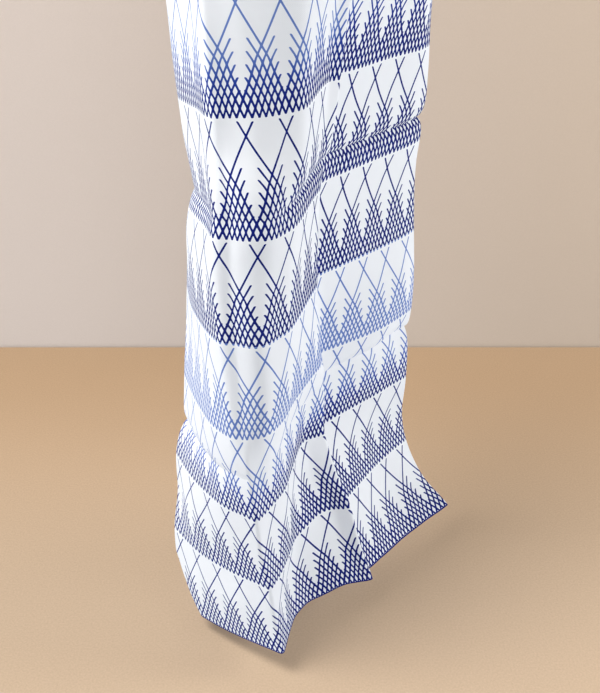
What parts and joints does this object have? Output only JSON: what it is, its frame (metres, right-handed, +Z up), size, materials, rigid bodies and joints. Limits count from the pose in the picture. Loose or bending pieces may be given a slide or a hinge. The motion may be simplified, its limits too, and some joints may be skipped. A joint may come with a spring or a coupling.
{
  "type": "tenugui",
  "caption": "Long thin cotton hand towel hanging from its top edge in loose upright folds, its lower end opening out.",
  "frame": {"origin": "middle of the cloth's top edge, where the hanging cloth is held", "axes": "+Z up along the length of the cloth, -Y towards the viewer, +X to the viewer's right"},
  "size_m": [0.2409, 0.1919, 0.91],
  "materials": {
    "cotton": "matt plain-weave cotton, white with indigo dyed lines"
  },
  "bodies": {
    "root": {"cloth": "cotton"}
  },
  "joints": []
}
